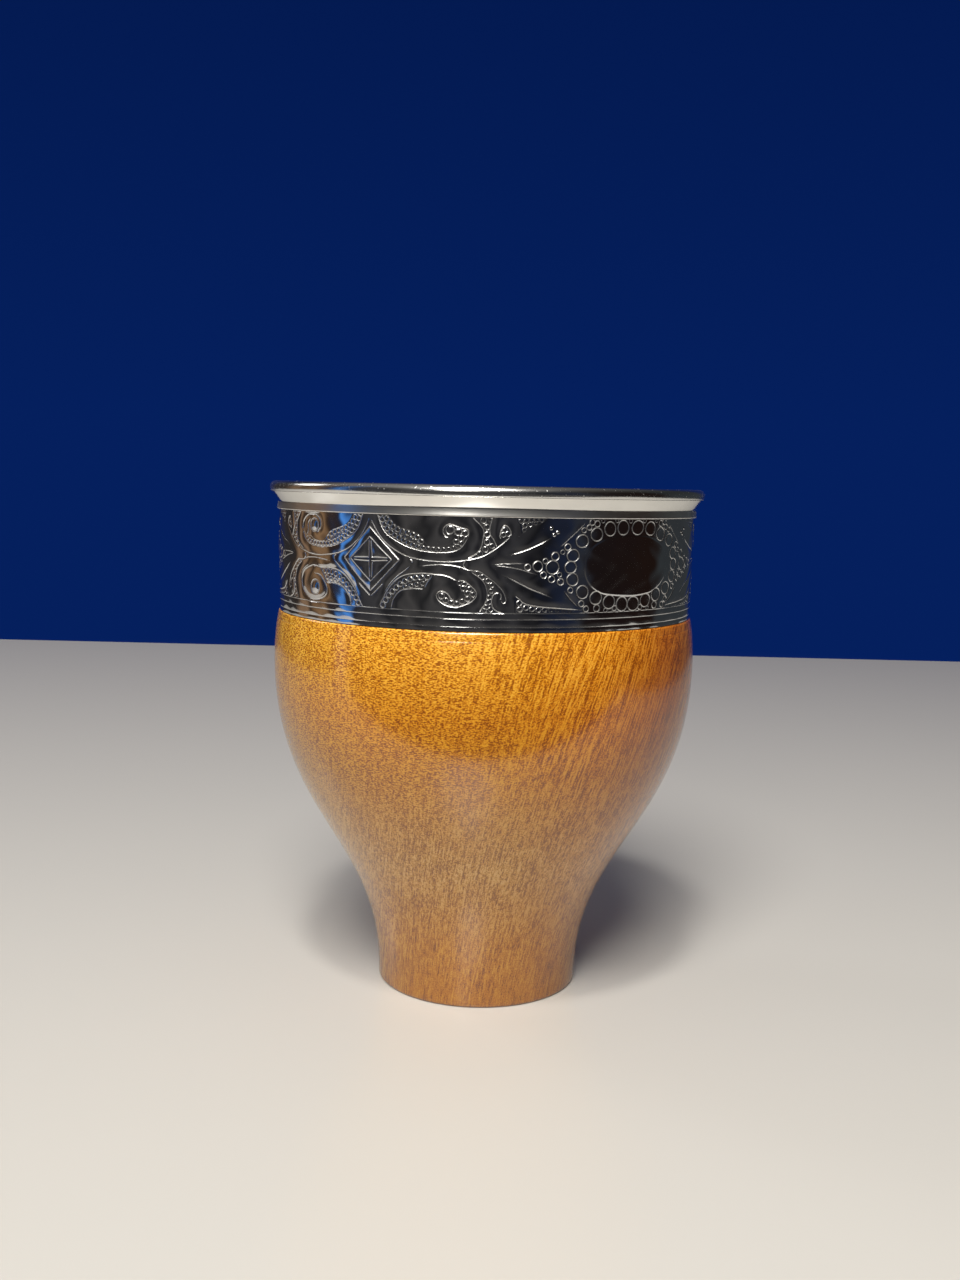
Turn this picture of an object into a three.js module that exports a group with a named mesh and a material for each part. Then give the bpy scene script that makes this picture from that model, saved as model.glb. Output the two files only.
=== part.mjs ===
// Mate cup: a turned wooden body lined with a drawn steel cup, whose rolled lip closes over a coved rim
// collar, with a chased metal band bonded round the neck below it.
// Millimetres, +Z up, origin at the centre of the foot's underside.

import * as THREE from "three";

// Wooden body
const FOOT_RADIUS = 19.4;        // upright side of the foot
const FOOT_ROUND = 0.6;          // rounded edge between the foot's side and its underside
const FOOT_REACH = 27.5;         // how far up the foot's upright direction is felt in the side's curve
const BELLY_HEIGHT = 63.3;       // widest level above the table
const BELLY_SWELL = 0.65;        // widest level beyond the top of the band
const BELLY_REACH = 30.5;        // how far down the belly's upright direction is felt in the side's curve
const SHOULDER_RISE = 8.9;       // from the widest level up to the ledge that carries the band
const SHOULDER_STEP = 0.25;      // wood standing proud of the band's lower edge
const SHOULDER_ROUND = 0.4;      // rounded edge of the ledge
const NECK_WALL = 2.6;           // wood behind the band, between the two adhesives
const MOUTH_ROUND = 1.4;         // rounded inner edge of the neck, under the liner's rim
const BASE_THICKNESS = 16;       // wood under the liner
const BASE_CORNER = 8;           // rounded corner at the bottom of the bore

// Chased band
const BAND_RADIUS = 39.4;        // outside, at its upper end
const BAND_TAPER = 0.35;         // narrower by this much at its lower end
const BAND_HEIGHT = 18.75;       // showing between the ledge and the collar
const BAND_WALL = 0.45;
const BAND_LAP = 0.9;            // upper end that is necked in and hidden behind the collar
const BAND_NECKING = 0.4;        // height of the slope into the necked end

// Rim collar
const COLLAR_STEP = 0.15;        // skirt standing proud of the band
const COLLAR_WALL = 0.35;
const SKIRT_HEIGHT = 1.1;        // straight part over the band
const COVE_HEIGHT = 1.58;        // hollow curve from the skirt to the lip
const COVE_FLARE = 0.9;          // how far the cove leans out
const COVE_BEND = 0.25;          // how far up the skirt's upright direction is felt in the cove's curve

// Steel liner
const LINER_WALL = 0.6;
const LIP_DIAMETER = 2.3;        // rolled bead round the mouth
const LIP_OVERHANG = 1.6;        // bead beyond the top of the band
const RIM_RISE = 0.5;            // slope of the rim from the bore up to the bead
const BEAD_TOP_DEGREES = 120;    // where the rim sheet's upper face runs into the bead's circle
const BEAD_UNDER_DEGREES = -145; // where its lower face does

// Adhesive and fits
const LINER_FILM = 0.4;          // adhesive between the bore and the liner
const LINER_FILM_HEIGHT = 14;
const BAND_FILM = 0.3;           // adhesive between the neck and the band, at its thinnest
const FILM_MARGIN = 1.5;         // bare edge left above and below each adhesive
const FILM_CLEARANCE = 0.1;      // on either side of an adhesive
const LAP_CLEARANCE = 0.06;      // collar over band
const SEAT_CLEARANCE = 0.1;      // band on its ledge, lip on the collar

// Smoothness of the turned surfaces
const SEGMENTS = 48;             // round the axis, the same for every piece so that facets lie parallel
const SIDE_STEPS = 13;           // along the body's side
const SHOULDER_STEPS = 3;
const ROUND_STEPS = 3;           // on a small rounded edge
const CORNER_STEPS = 4;          // in the corner of the bore and of the liner
const COVE_STEPS = 4;
const BEAD_STEPS = 9;
const LEAST_STEP = 0.5;          // shortest step left between the side's points and the bore's corner
const HALVINGS = 40;             // when a radius is searched for along the side

// Radii that follow from the sizes above
const bandFootRadius = BAND_RADIUS - BAND_TAPER;
const bellyRadius = BAND_RADIUS + BELLY_SWELL;
const shoulderRadius = bandFootRadius + SHOULDER_STEP;
const neckRadius = bandFootRadius - BAND_WALL - BAND_FILM - 2 * FILM_CLEARANCE;
const boreRadius = neckRadius - NECK_WALL;
const linerGap = LINER_FILM + 2 * FILM_CLEARANCE;
const skirtRadius = BAND_RADIUS + COLLAR_STEP;
const lapRadius = skirtRadius - COLLAR_WALL - LAP_CLEARANCE;
const beadRadius = LIP_DIAMETER / 2;
const beadCentreRadius = BAND_RADIUS + LIP_OVERHANG - beadRadius;
const mouthRound = Math.min(MOUTH_ROUND, NECK_WALL / 2);

// Levels that follow from the sizes above
const ledgeLevel = BELLY_HEIGHT + SHOULDER_RISE;
const bandFootLevel = ledgeLevel + SEAT_CLEARANCE;
const skirtLevel = bandFootLevel + BAND_HEIGHT;
const bandTopLevel = skirtLevel + BAND_LAP;
const coveLevel = skirtLevel + SKIRT_HEIGHT;
const collarTopLevel = coveLevel + COVE_HEIGHT;
const beadLevel = collarTopLevel + SEAT_CLEARANCE + beadRadius;

const beadTopAngle = THREE.MathUtils.degToRad(BEAD_TOP_DEGREES);
const beadUnderAngle = THREE.MathUtils.degToRad(BEAD_UNDER_DEGREES);
const rimUnderLevel = beadLevel + beadRadius * Math.sin(beadUnderAngle);
const neckTopLevel = rimUnderLevel - RIM_RISE - linerGap;

// Points on a circular arc, from one angle to another
function arc(centreRadius, centreLevel, radius, from, to, steps) {
  const points = [];
  for (let i = 0; i <= steps; i++) {
    const angle = THREE.MathUtils.lerp(from, to, i / steps);
    points.push([centreRadius + radius * Math.cos(angle), centreLevel + radius * Math.sin(angle)]);
  }
  return points;
}

// Points along a three.js curve, as [radius, level] pairs
function along(curve, steps) {
  return curve.getPoints(steps).map((point) => [point.x, point.y]);
}

// The side of the wood, from the belly down to the foot, upright at both ends
const side = new THREE.CubicBezierCurve(
  new THREE.Vector2(bellyRadius, BELLY_HEIGHT),
  new THREE.Vector2(bellyRadius, BELLY_HEIGHT - BELLY_REACH),
  new THREE.Vector2(FOOT_RADIUS, FOOT_ROUND + FOOT_REACH),
  new THREE.Vector2(FOOT_RADIUS, FOOT_ROUND),
);

// Radius of the wood's side at a level, found by halving the curve's parameter range
function sideRadius(level) {
  let above = 0;
  let below = 1;
  for (let i = 0; i < HALVINGS; i++) {
    const middle = (above + below) / 2;
    if (side.getPoint(middle).y > level) {
      above = middle;
    } else {
      below = middle;
    }
  }
  return side.getPoint(above).x;
}

// A wall that follows the wood's side at a fixed inset, from the belly down to a flat floor at a level,
// with a rounded corner between them. The points run from the belly to the axis.
function hollow(inset, floorLevel) {
  const cornerLevel = floorLevel + BASE_CORNER;
  const cornerRadius = sideRadius(cornerLevel) - inset;
  const floorRadius = sideRadius(floorLevel) - inset;
  const wall = along(side, SIDE_STEPS)
    .filter(([, level]) => level > cornerLevel + LEAST_STEP)
    .map(([radius, level]) => [radius - inset, level]);
  const corner = new THREE.QuadraticBezierCurve(
    new THREE.Vector2(cornerRadius, cornerLevel),
    new THREE.Vector2(floorRadius, floorLevel),
    new THREE.Vector2(floorRadius - BASE_CORNER, floorLevel),
  );
  return [...wall, ...along(corner, CORNER_STEPS), [0, floorLevel]];
}

// A solid turned about the Z axis. The profile ends on the axis or closes on itself.
function turned(name, profile, finish) {
  const points = profile.map(([radius, level]) => new THREE.Vector2(radius, level));
  const geometry = new THREE.LatheGeometry(points, SEGMENTS);
  geometry.rotateX(Math.PI / 2);
  const mesh = new THREE.Mesh(geometry, new THREE.MeshStandardMaterial(finish));
  mesh.name = name;
  return mesh;
}

const lacqueredWood = { color: 0xc8842f, roughness: 0.25, metalness: 0 };
const polishedMetal = { color: 0xb4b6ba, roughness: 0.1, metalness: 1 };
const brushedSteel = { color: 0xa9acaf, roughness: 0.3, metalness: 1 };
const adhesive = { color: 0xd8cfae, roughness: 0.6, metalness: 0 };

// Wooden body: foot, swelling side, ledge for the band, neck and a bore that follows the side
function woodBody() {
  const quarter = Math.PI / 2;
  const footCentre = FOOT_RADIUS - FOOT_ROUND;
  const footEdge = arc(footCentre, FOOT_ROUND, FOOT_ROUND, -quarter, 0, ROUND_STEPS);
  const shoulder = new THREE.QuadraticBezierCurve(
    new THREE.Vector2(bellyRadius, BELLY_HEIGHT),
    new THREE.Vector2(bellyRadius, BELLY_HEIGHT + SHOULDER_RISE / 2),
    new THREE.Vector2(shoulderRadius, ledgeLevel - SHOULDER_ROUND),
  );
  const ledgeEdge = arc(
    shoulderRadius - SHOULDER_ROUND, ledgeLevel - SHOULDER_ROUND, SHOULDER_ROUND, 0, quarter, ROUND_STEPS,
  );
  const mouthEdge = arc(
    boreRadius + mouthRound, neckTopLevel - mouthRound, mouthRound, quarter, 2 * quarter, ROUND_STEPS,
  );
  return turned("wood_body", [
    [0, 0],
    ...footEdge,
    ...along(side, SIDE_STEPS).reverse().slice(1),
    ...along(shoulder, SHOULDER_STEPS).slice(1),
    ...ledgeEdge.slice(1),
    [neckRadius, ledgeLevel],
    [neckRadius, neckTopLevel],
    ...mouthEdge,
    ...hollow(bellyRadius - boreRadius, BASE_THICKNESS),
  ], lacqueredWood);
}

// Steel liner: a drawn cup that follows the bore, with a sloping rim and a rolled bead
function steelLiner() {
  const quarter = Math.PI / 2;
  const outerRadius = boreRadius - linerGap;
  const floorLevel = BASE_THICKNESS + linerGap;
  const bendRadius = boreRadius + mouthRound;
  const bendLevel = neckTopLevel - mouthRound;
  const underBend = arc(bendRadius, bendLevel, mouthRound + linerGap, 2 * quarter, quarter, ROUND_STEPS);
  const overBend = arc(
    bendRadius, bendLevel, mouthRound + linerGap + LINER_WALL, quarter, 2 * quarter, ROUND_STEPS,
  );
  const bead = arc(
    beadCentreRadius, beadLevel, beadRadius, beadUnderAngle, beadTopAngle, BEAD_STEPS,
  );
  return turned("steel_liner", [
    ...hollow(bellyRadius - outerRadius, floorLevel).reverse(),
    ...underBend,
    ...bead,
    ...overBend,
    ...hollow(bellyRadius - outerRadius + LINER_WALL, floorLevel + LINER_WALL),
  ], brushedSteel);
}

// Rim collar: a straight skirt that laps the band, with a cove flaring up to the underside of the lip
function rimCollar() {
  const cove = new THREE.QuadraticBezierCurve(
    new THREE.Vector2(skirtRadius, coveLevel),
    new THREE.Vector2(skirtRadius, coveLevel + COVE_BEND),
    new THREE.Vector2(skirtRadius + COVE_FLARE, collarTopLevel),
  );
  const outside = [[skirtRadius, skirtLevel], ...along(cove, COVE_STEPS)];
  const inside = outside.map(([radius, level]) => [radius - COLLAR_WALL, level]).reverse();
  return turned("rim_collar", [...outside, ...inside, outside[0]], polishedMetal);
}

// Chased band: a slightly tapered sleeve, necked in at the top to pass behind the collar
function chasedBand() {
  const necked = skirtLevel - LAP_CLEARANCE;
  const outside = [
    [bandFootRadius, bandFootLevel],
    [BAND_RADIUS, necked - BAND_NECKING],
    [lapRadius, necked],
    [lapRadius, bandTopLevel],
  ];
  const inside = outside.map(([radius, level]) => [radius - BAND_WALL, level]).reverse();
  return turned("chased_band", [...outside, ...inside, outside[0]], polishedMetal);
}

// Adhesive behind the band: fills the narrow wedge between the straight neck and the tapered sleeve
function bandBond() {
  const low = bandFootLevel + FILM_MARGIN;
  const high = skirtLevel - BAND_NECKING - FILM_MARGIN;
  const sleeveInside = (level) => bandFootRadius - BAND_WALL
    + BAND_TAPER * (level - bandFootLevel) / (skirtLevel - LAP_CLEARANCE - BAND_NECKING - bandFootLevel);
  const inner = neckRadius + FILM_CLEARANCE;
  return turned("band_bond", [
    [inner, low],
    [sleeveInside(low) - FILM_CLEARANCE, low],
    [sleeveInside(high) - FILM_CLEARANCE, high],
    [inner, high],
    [inner, low],
  ], adhesive);
}

// Adhesive round the liner, in the straight part of the bore
function linerBond() {
  const high = neckTopLevel - mouthRound - FILM_MARGIN;
  const low = high - LINER_FILM_HEIGHT;
  const outer = boreRadius - FILM_CLEARANCE;
  return turned("liner_bond", [
    [outer - LINER_FILM, low],
    [outer, low],
    [outer, high],
    [outer - LINER_FILM, high],
    [outer - LINER_FILM, low],
  ], adhesive);
}

const mateCup = new THREE.Group();
mateCup.add(woodBody(), steelLiner(), rimCollar(), chasedBand(), bandBond(), linerBond());

export default mateCup;
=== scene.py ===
"""Looks of a lined wooden mate cup: lacquered wood, steel liner, coved collar and chased metal band.

Sizes are in millimetres and become metres when a mesh is made. The origin is the middle of the foot's
underside, +Z is up and the front is the -Y side.
"""

import math

import bpy
import numpy as np
from mathutils import Matrix, Vector


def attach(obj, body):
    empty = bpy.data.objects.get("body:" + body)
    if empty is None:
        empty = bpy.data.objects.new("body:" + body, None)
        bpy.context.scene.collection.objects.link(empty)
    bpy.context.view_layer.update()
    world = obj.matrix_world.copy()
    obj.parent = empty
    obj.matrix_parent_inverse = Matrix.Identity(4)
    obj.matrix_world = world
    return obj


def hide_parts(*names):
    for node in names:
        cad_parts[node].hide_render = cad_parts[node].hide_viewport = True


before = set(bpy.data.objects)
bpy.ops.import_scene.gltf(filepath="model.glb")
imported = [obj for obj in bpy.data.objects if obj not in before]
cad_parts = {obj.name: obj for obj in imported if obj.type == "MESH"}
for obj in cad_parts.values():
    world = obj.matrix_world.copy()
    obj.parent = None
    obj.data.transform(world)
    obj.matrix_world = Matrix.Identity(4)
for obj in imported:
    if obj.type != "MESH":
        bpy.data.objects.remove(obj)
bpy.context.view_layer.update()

MM = 0.001
TURN_STEPS = 256                 # round the axis, for every turned piece

# Wooden body
FOOT_RADIUS, FOOT_ROUND, FOOT_REACH = 19.4, 0.6, 27.5
BELLY_RADIUS, BELLY_HEIGHT, BELLY_REACH = 40.05, 63.3, 30.5
LEDGE_HEIGHT, SHOULDER_RADIUS, SHOULDER_ROUND = 72.2, 39.3, 0.4
NECK_RADIUS, NECK_TOP, BORE_RADIUS, MOUTH_ROUND = 38.1, 93.22, 35.5, 1.3
BASE_THICKNESS, BASE_CORNER = 16.0, 8.0
CORNER_CLEAR = 0.3                       # least drop from the last point of a wall to its corner
TURNING_LINE = 70.7                      # height of a faint line left by the turning tool
TURNING_WIDTH, TURNING_DEPTH = 0.16, 0.025

# Steel liner
LINER_GAP, LINER_WALL = 0.6, 0.6
BEAD_CENTRE, BEAD_RADIUS = (39.85, 94.98), 1.15
BEAD_TOP, BEAD_UNDER = 120.0, -145.0     # degrees on the bead where the rim's sheet runs in

# Rim collar
SKIRT_RADIUS, SKIRT_FOOT, COVE_FOOT, COVE_TOP = 39.55, 91.05, 92.15, 93.73
COVE_FLARE, COVE_BEND, COLLAR_WALL = 0.9, 0.25, 0.35
SKIRT_TOP, SKIRT_FLARE, SKIRT_EDGE = 92.37, 0.10, 0.16
SKIRT_HEEL = 0.1                         # how far the skirt's inner edge lies above its foot
COLLAR_TIP, TIP_HEEL = (40.80, 94.25), (40.50, 93.98)    # thin edge under the bead, and the inside behind it
TIP_FLAT, TIP_HOLD = (-0.03, 0.01), 0.04    # across that edge, and a near point that keeps it sharp

# Chased band
BAND_FOOT, BAND_NECK, BAND_LAP, BAND_TOP = 72.3, 90.59, 90.99, 91.95
BAND_FOOT_RADIUS, BAND_RADIUS, LAP_RADIUS, BAND_WALL = 39.05, 39.4, 39.14, 0.45


def smooth(t):
    """Rises from 0 at t = 0 to 1 at t = 1 with level ends: 3 t squared less 2 t cubed."""
    t = np.clip(t, 0.0, 1.0)
    return t * t * (3.0 - 2.0 * t)


def bezier(points, steps):
    """Points of a Bezier curve: neighbouring control points are blended by t until one is left."""
    t = np.linspace(0.0, 1.0, steps + 1)[:, None]
    level = [np.array(p, float) for p in points]
    while len(level) > 1:
        level = [a + (b - a) * t for a, b in zip(level, level[1:])]
    return level[0]


def arc(centre, radius, start, end, steps):
    """Points on a circle round a centre, from one angle in degrees to another."""
    angle = np.radians(np.linspace(start, end, steps + 1))
    return np.array(centre) + radius * np.column_stack([np.cos(angle), np.sin(angle)])


def curve(points, steps=8):
    """Cubics through points: the slope at a point is half the chord between its neighbours."""
    p = np.array(points, float)
    p = np.vstack([2 * p[0] - p[1], p, 2 * p[-1] - p[-2]])
    t = np.arange(steps)[:, None] / steps
    spans = [0.5 * (2 * b + (c - a) * t + (2 * a - 5 * b + 4 * c - d) * t**2
                    + (3 * b - a - 3 * c + d) * t**3)
             for a, b, c, d in zip(p[:-3], p[1:-2], p[2:-1], p[3:])]
    return np.vstack(spans + [p[-2:-1]])


def shown(mesh, node, material):
    """Adds a mesh as a piece that stands for a CAD node and takes a material."""
    piece = bpy.data.objects.new(mesh.name, mesh)
    bpy.context.scene.collection.objects.link(piece)
    mesh.materials.append(material)
    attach(piece, "root")
    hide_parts(node)


def turned(name, profile):
    """Surface of revolution: each (radius, height) goes round Z in equal steps; one on the axis is a pole."""
    profile = np.array(profile, float)
    turn = np.linspace(0.0, 2 * math.pi, TURN_STEPS, endpoint=False)
    ring = np.column_stack([np.cos(turn), np.sin(turn)])
    counts = np.where(profile[:, 0] == 0.0, 1, TURN_STEPS)
    starts = np.cumsum(counts) - counts
    corners = [np.column_stack([radius * ring[:count], np.full(count, height)])
               for (radius, height), count in zip(profile, counts)]
    here = np.arange(TURN_STEPS)
    after = (here + 1) % TURN_STEPS
    closes_on_itself = counts[0] > 1
    faces = []
    for i in range(len(profile) if closes_on_itself else len(profile) - 1):
        j = (i + 1) % len(profile)
        sides = [starts[i] + here, starts[i] + after, starts[j] + after, starts[j] + here]
        if counts[i] == 1:
            sides = [np.full(TURN_STEPS, starts[i]), *sides[2:]]
        elif counts[j] == 1:
            sides = [*sides[:2], np.full(TURN_STEPS, starts[j])]
        faces += np.column_stack(sides).tolist()
    mesh = bpy.data.meshes.new(name)
    mesh.from_pydata((np.vstack(corners) * MM).tolist(), [], faces)
    mesh.polygons.foreach_set("use_smooth", np.ones(len(faces), bool))
    mesh.update()
    return mesh


# Side of the wood, from the belly down to the foot, upright at both ends
SIDE = bezier([(BELLY_RADIUS, BELLY_HEIGHT), (BELLY_RADIUS, BELLY_HEIGHT - BELLY_REACH),
               (FOOT_RADIUS, FOOT_ROUND + FOOT_REACH), (FOOT_RADIUS, FOOT_ROUND)], 72)


def hollow(inset, floor):
    """A wall at a fixed inset from the wood's side, then a rounded corner and a flat floor to the axis."""
    top = floor + BASE_CORNER
    wall = SIDE[SIDE[:, 1] > top + CORNER_CLEAR] - (inset, 0.0)
    top_radius, floor_radius = np.interp((top, floor), SIDE[::-1, 1], SIDE[::-1, 0]) - inset
    corner = bezier([(top_radius, top), (floor_radius, floor), (floor_radius - BASE_CORNER, floor)], 16)
    return np.vstack([wall, corner, [(0.0, floor)]])


def wood_profile():
    """Foot, side, shoulder, ledge, neck and bore, from the axis under the foot to the axis in the bore."""
    shoulder_top, bend = LEDGE_HEIGHT - SHOULDER_ROUND, (BELLY_HEIGHT + LEDGE_HEIGHT) / 2
    shoulder = bezier([(BELLY_RADIUS, BELLY_HEIGHT), (BELLY_RADIUS, bend),
                       (SHOULDER_RADIUS, shoulder_top)], 16)
    line_heights = TURNING_LINE + np.linspace(-TURNING_WIDTH, TURNING_WIDTH, 7)
    heights = np.union1d(shoulder[:, 1], line_heights)
    cut = TURNING_DEPTH * smooth(1 - np.abs(heights - TURNING_LINE) / TURNING_WIDTH)
    shoulder = np.column_stack([np.interp(heights, shoulder[:, 1], shoulder[:, 0]) - cut, heights])
    return np.vstack([
        [(0.0, 0.0), (FOOT_RADIUS / 2, 0.0)],
        arc((FOOT_RADIUS - FOOT_ROUND, FOOT_ROUND), FOOT_ROUND, -90, 0, 8),
        SIDE[-2::-1],
        shoulder[1:],
        arc((SHOULDER_RADIUS - SHOULDER_ROUND, shoulder_top), SHOULDER_ROUND, 0, 90, 6)[1:],
        [(NECK_RADIUS, LEDGE_HEIGHT), (NECK_RADIUS, NECK_TOP)],
        arc((BORE_RADIUS + MOUTH_ROUND, NECK_TOP - MOUTH_ROUND), MOUTH_ROUND, 90, 180, 6),
        hollow(BELLY_RADIUS - BORE_RADIUS, BASE_THICKNESS),
    ])


def liner_profile():
    """Outside of the drawn cup, its rolled bead, then the inside down to the axis."""
    bend = (BORE_RADIUS + MOUTH_ROUND, NECK_TOP - MOUTH_ROUND)
    inset = BELLY_RADIUS - BORE_RADIUS + LINER_GAP
    floor = BASE_THICKNESS + LINER_GAP
    return np.vstack([
        hollow(inset, floor)[::-1],
        arc(bend, MOUTH_ROUND + LINER_GAP, 180, 90, 8),
        arc(BEAD_CENTRE, BEAD_RADIUS, BEAD_UNDER, BEAD_TOP, 28),
        arc(bend, MOUTH_ROUND + LINER_GAP + LINER_WALL, 90, 180, 10),
        hollow(inset + LINER_WALL, floor + LINER_WALL),
    ])


def collar_profile():
    """Rounded lower edge, a slightly flared skirt, the cove up to a thin tip, and back down inside."""
    bend, tip = (SKIRT_RADIUS, SKIRT_TOP + COVE_BEND), np.array(COLLAR_TIP)
    low = SKIRT_FOOT + SKIRT_EDGE
    edge = arc((SKIRT_RADIUS + SKIRT_FLARE - SKIRT_EDGE, low), SKIRT_EDGE, -80, 10, 8)
    skirt = bezier([edge[-1], (SKIRT_RADIUS, (low + SKIRT_TOP) / 2), (SKIRT_RADIUS, SKIRT_TOP)], 8)
    cove = bezier([(SKIRT_RADIUS, SKIRT_TOP), bend, tip], 18)
    near_tip = tip - TIP_HOLD * (tip - cove[-2])
    inner_cove = bezier([(SKIRT_RADIUS, COVE_FOOT), bend, (SKIRT_RADIUS + COVE_FLARE, COVE_TOP)], 8)
    heel = [(SKIRT_RADIUS - COLLAR_WALL, SKIRT_FOOT + SKIRT_HEEL)]
    return np.vstack([edge, skirt[1:], cove[1:-1], [near_tip, tip, tip + TIP_FLAT, TIP_HEEL],
                      inner_cove[::-1] - (COLLAR_WALL, 0.0), heel])


# Chased ornament. One half repeat is drawn flat: across, in mm from the middle of a diamond to the middle of
# a medallion, and up or down from the band's mid-height. Both middles are lines of symmetry, apart from the
# scroll heads, which hold beads on the right of a diamond and a round boss on its left.
HALF_REPEAT = 46.0
SECOND_STRETCH = 1.155           # the half repeat beyond each medallion is this much longer
MID_HEIGHT, ORNAMENT_LOW, ORNAMENT_HIGH = 83.4, -8.0, 7.7
GRID, MARGIN = 0.05, 1.0
LINE, LINE_DEPTH, LINE_END = 0.10, 0.05, 0.35    # half width, depth, share of the width left at both ends
PRESS_DEPTH, PRESS_REACH = 0.50, 0.45            # how far the sheet gives way beside a line
GROUND_DEPTH, GROUND_EDGE, GROUND_DULL = 0.022, 0.20, 0.10
BRIGHT_RISE = 0.03               # what stands higher than this on a ground is rubbed bright
BEAD_RISE, BEAD_FACE, BEAD_RING = 0.06, 0.85, 0.65    # rise and face for each mm of radius, depth of its ring
BOSS_RISE, DOT_RISE = 0.18, 0.25
RING_WIDTH, RING_SHARE = 0.12, 0.26    # half width of a ring's cut, and its limit for each mm of radius
PLATE_RISE, PLATE_EDGE = 0.09, 0.26

ACROSS, UP = np.meshgrid(np.arange(-MARGIN, HALF_REPEAT + MARGIN, GRID),
                         np.arange(ORNAMENT_LOW - MARGIN, ORNAMENT_HIGH + MARGIN, GRID))
CORNER = np.array([ACROSS[0, 0], UP[0, 0]])


def patch(path, margin):
    """The part of the drawing that a path and a margin round it cover."""
    low = np.maximum((path.min(0) - margin - CORNER) / GRID, 0).astype(int)
    high = np.maximum((path.max(0) + margin - CORNER) / GRID + 2, 0).astype(int)
    return slice(low[1], high[1]), slice(low[0], high[0])


def distance(path, part):
    """Distance from each grid point to the nearest piece of a path, and that place along it, 0 to 1."""
    u, v = ACROSS[part], UP[part]
    nearest, share = np.full(u.shape, np.inf), np.zeros(u.shape)
    for i, (a, b) in enumerate(zip(path, path[1:])):
        d = b - a
        t = np.clip(((u - a[0]) * d[0] + (v - a[1]) * d[1]) / max(d @ d, 1e-12), 0.0, 1.0)
        reach = np.hypot(u - a[0] - t * d[0], v - a[1] - t * d[1])
        share = np.where(reach < nearest, (i + t) / (len(path) - 1), share)
        nearest = np.minimum(reach, nearest)
    return nearest, share


def inside_distance(edges, part):
    """Distance to a closed outline, positive inside: a line to one side meets it an odd number of times."""
    path = np.vstack([curve(e) for e in edges])
    u, v = ACROSS[part], UP[part]
    inside = np.zeros(u.shape, bool)
    for a, b in zip(path, np.roll(path, -1, axis=0)):
        if a[1] != b[1]:
            inside ^= ((a[1] > v) != (b[1] > v)) & (u < a[0] + (v - a[1]) * (b[0] - a[0]) / (b[1] - a[1]))
    away, _ = distance(np.vstack([path, path[:1]]), part)
    return np.where(inside, away, -away)


def blurred(grid, reach):
    """A grid spread by a bell curve of the given reach in mm, worked out on the grid's frequencies."""
    up = np.fft.fftfreq(grid.shape[0], GRID)[:, None]
    across = np.fft.rfftfreq(grid.shape[1], GRID)
    bell = np.exp(-2 * (math.pi * reach) ** 2 * (up**2 + across**2))
    return np.fft.irfft2(np.fft.rfft2(grid) * bell, grid.shape)


def trough(away, width):
    """Cross-section of a cut: 1 in its middle and 0 at its width, as half a cosine wave."""
    return 0.5 + 0.5 * np.cos(np.pi * np.clip(away / width, 0.0, 1.0))


class Drawing:
    """One half repeat, kept as grids of how far the sheet is sunk, scored, cut and raised."""

    def __init__(self):
        self.sunk, self.scored, self.cut, self.raised = (np.zeros(UP.shape) for _ in range(4))

    def relief(self):
        """Height of the sheet, which gives way softly on both sides of a scored line."""
        pressed = PRESS_DEPTH * blurred(self.scored, PRESS_REACH)
        return self.raised - GROUND_DEPTH * self.sunk - LINE_DEPTH * self.cut - pressed

    def worked(self):
        """Where the tool has left the metal dull: in cuts, and a little in the grounds between beads."""
        return np.clip(np.maximum(self.cut, GROUND_DULL * self.sunk * (self.raised < BRIGHT_RISE)), 0, 1)

    def line(self, points, width=LINE, taper=0.05, bent=True):
        """A cut along a path, as deep as it is wide, narrowing over a share of its length at both ends."""
        path = curve(points) if bent else np.array(points, float)
        part = patch(path, width)
        away, share = distance(path, part)
        wide = width * (LINE_END + (1 - LINE_END) * smooth(np.minimum(share, 1 - share) / taper))
        self.scored[part] = np.maximum(self.scored[part], trough(away, wide) * wide / LINE)
        self.cut[part] = np.maximum(self.cut[part], self.scored[part])

    def ground(self, *edges):
        """A sunk field inside the edges joined end to end, with sloping walls."""
        part = patch(np.vstack([curve(e) for e in edges]), GROUND_EDGE)
        depth = smooth(inside_distance(edges, part) / GROUND_EDGE + 0.5)
        self.sunk[part] = np.maximum(self.sunk[part], depth)

    def plate(self, *edges):
        """A raised flat field with sloping walls."""
        part = patch(np.vstack([curve(e) for e in edges]), PLATE_EDGE)
        rise = PLATE_RISE * smooth(inside_distance(edges, part) / PLATE_EDGE + 0.5)
        self.raised[part] = np.maximum(self.raised[part], rise)

    def beads(self, *spots, rise=BEAD_RISE, power=4):
        """Buttons (across, up, radius) in ring cuts: the height falls with a power of the distance."""
        for u, v, r in spots:
            part = patch(np.array([[u, v]]), r)
            q = np.hypot(ACROSS[part] - u, UP[part] - v) / (BEAD_FACE * r)
            self.raised[part] = np.maximum(self.raised[part], rise * r * np.clip(1 - q**power, 0, 1))
        self.rings(*spots, share=BEAD_RING)

    def rings(self, *spots, share=1.0):
        """Ring cuts (across, up, radius) round a disc that stays level, to a share of a line's depth."""
        for u, v, r in spots:
            wide = min(RING_WIDTH, RING_SHARE * r)
            part = patch(np.array([[u, v]]), r + wide)
            away = np.abs(np.hypot(ACROSS[part] - u, UP[part] - v) - r)
            self.cut[part] = np.maximum(self.cut[part], share * trough(away, wide) * wide / LINE)

    def row(self, shape, count, first, last, points):
        """Beads or rings at equal steps along a path, their radius changing evenly from first to last."""
        path = curve(points, 24)
        along = np.concatenate([[0.0], np.cumsum(np.hypot(*np.diff(path, axis=0).T))])
        for share in np.linspace(0.0, 1.0, count):
            at = share * along[-1]
            shape((np.interp(at, along, path[:, 0]), np.interp(at, along, path[:, 1]),
                   first + (last - first) * share))


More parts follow.
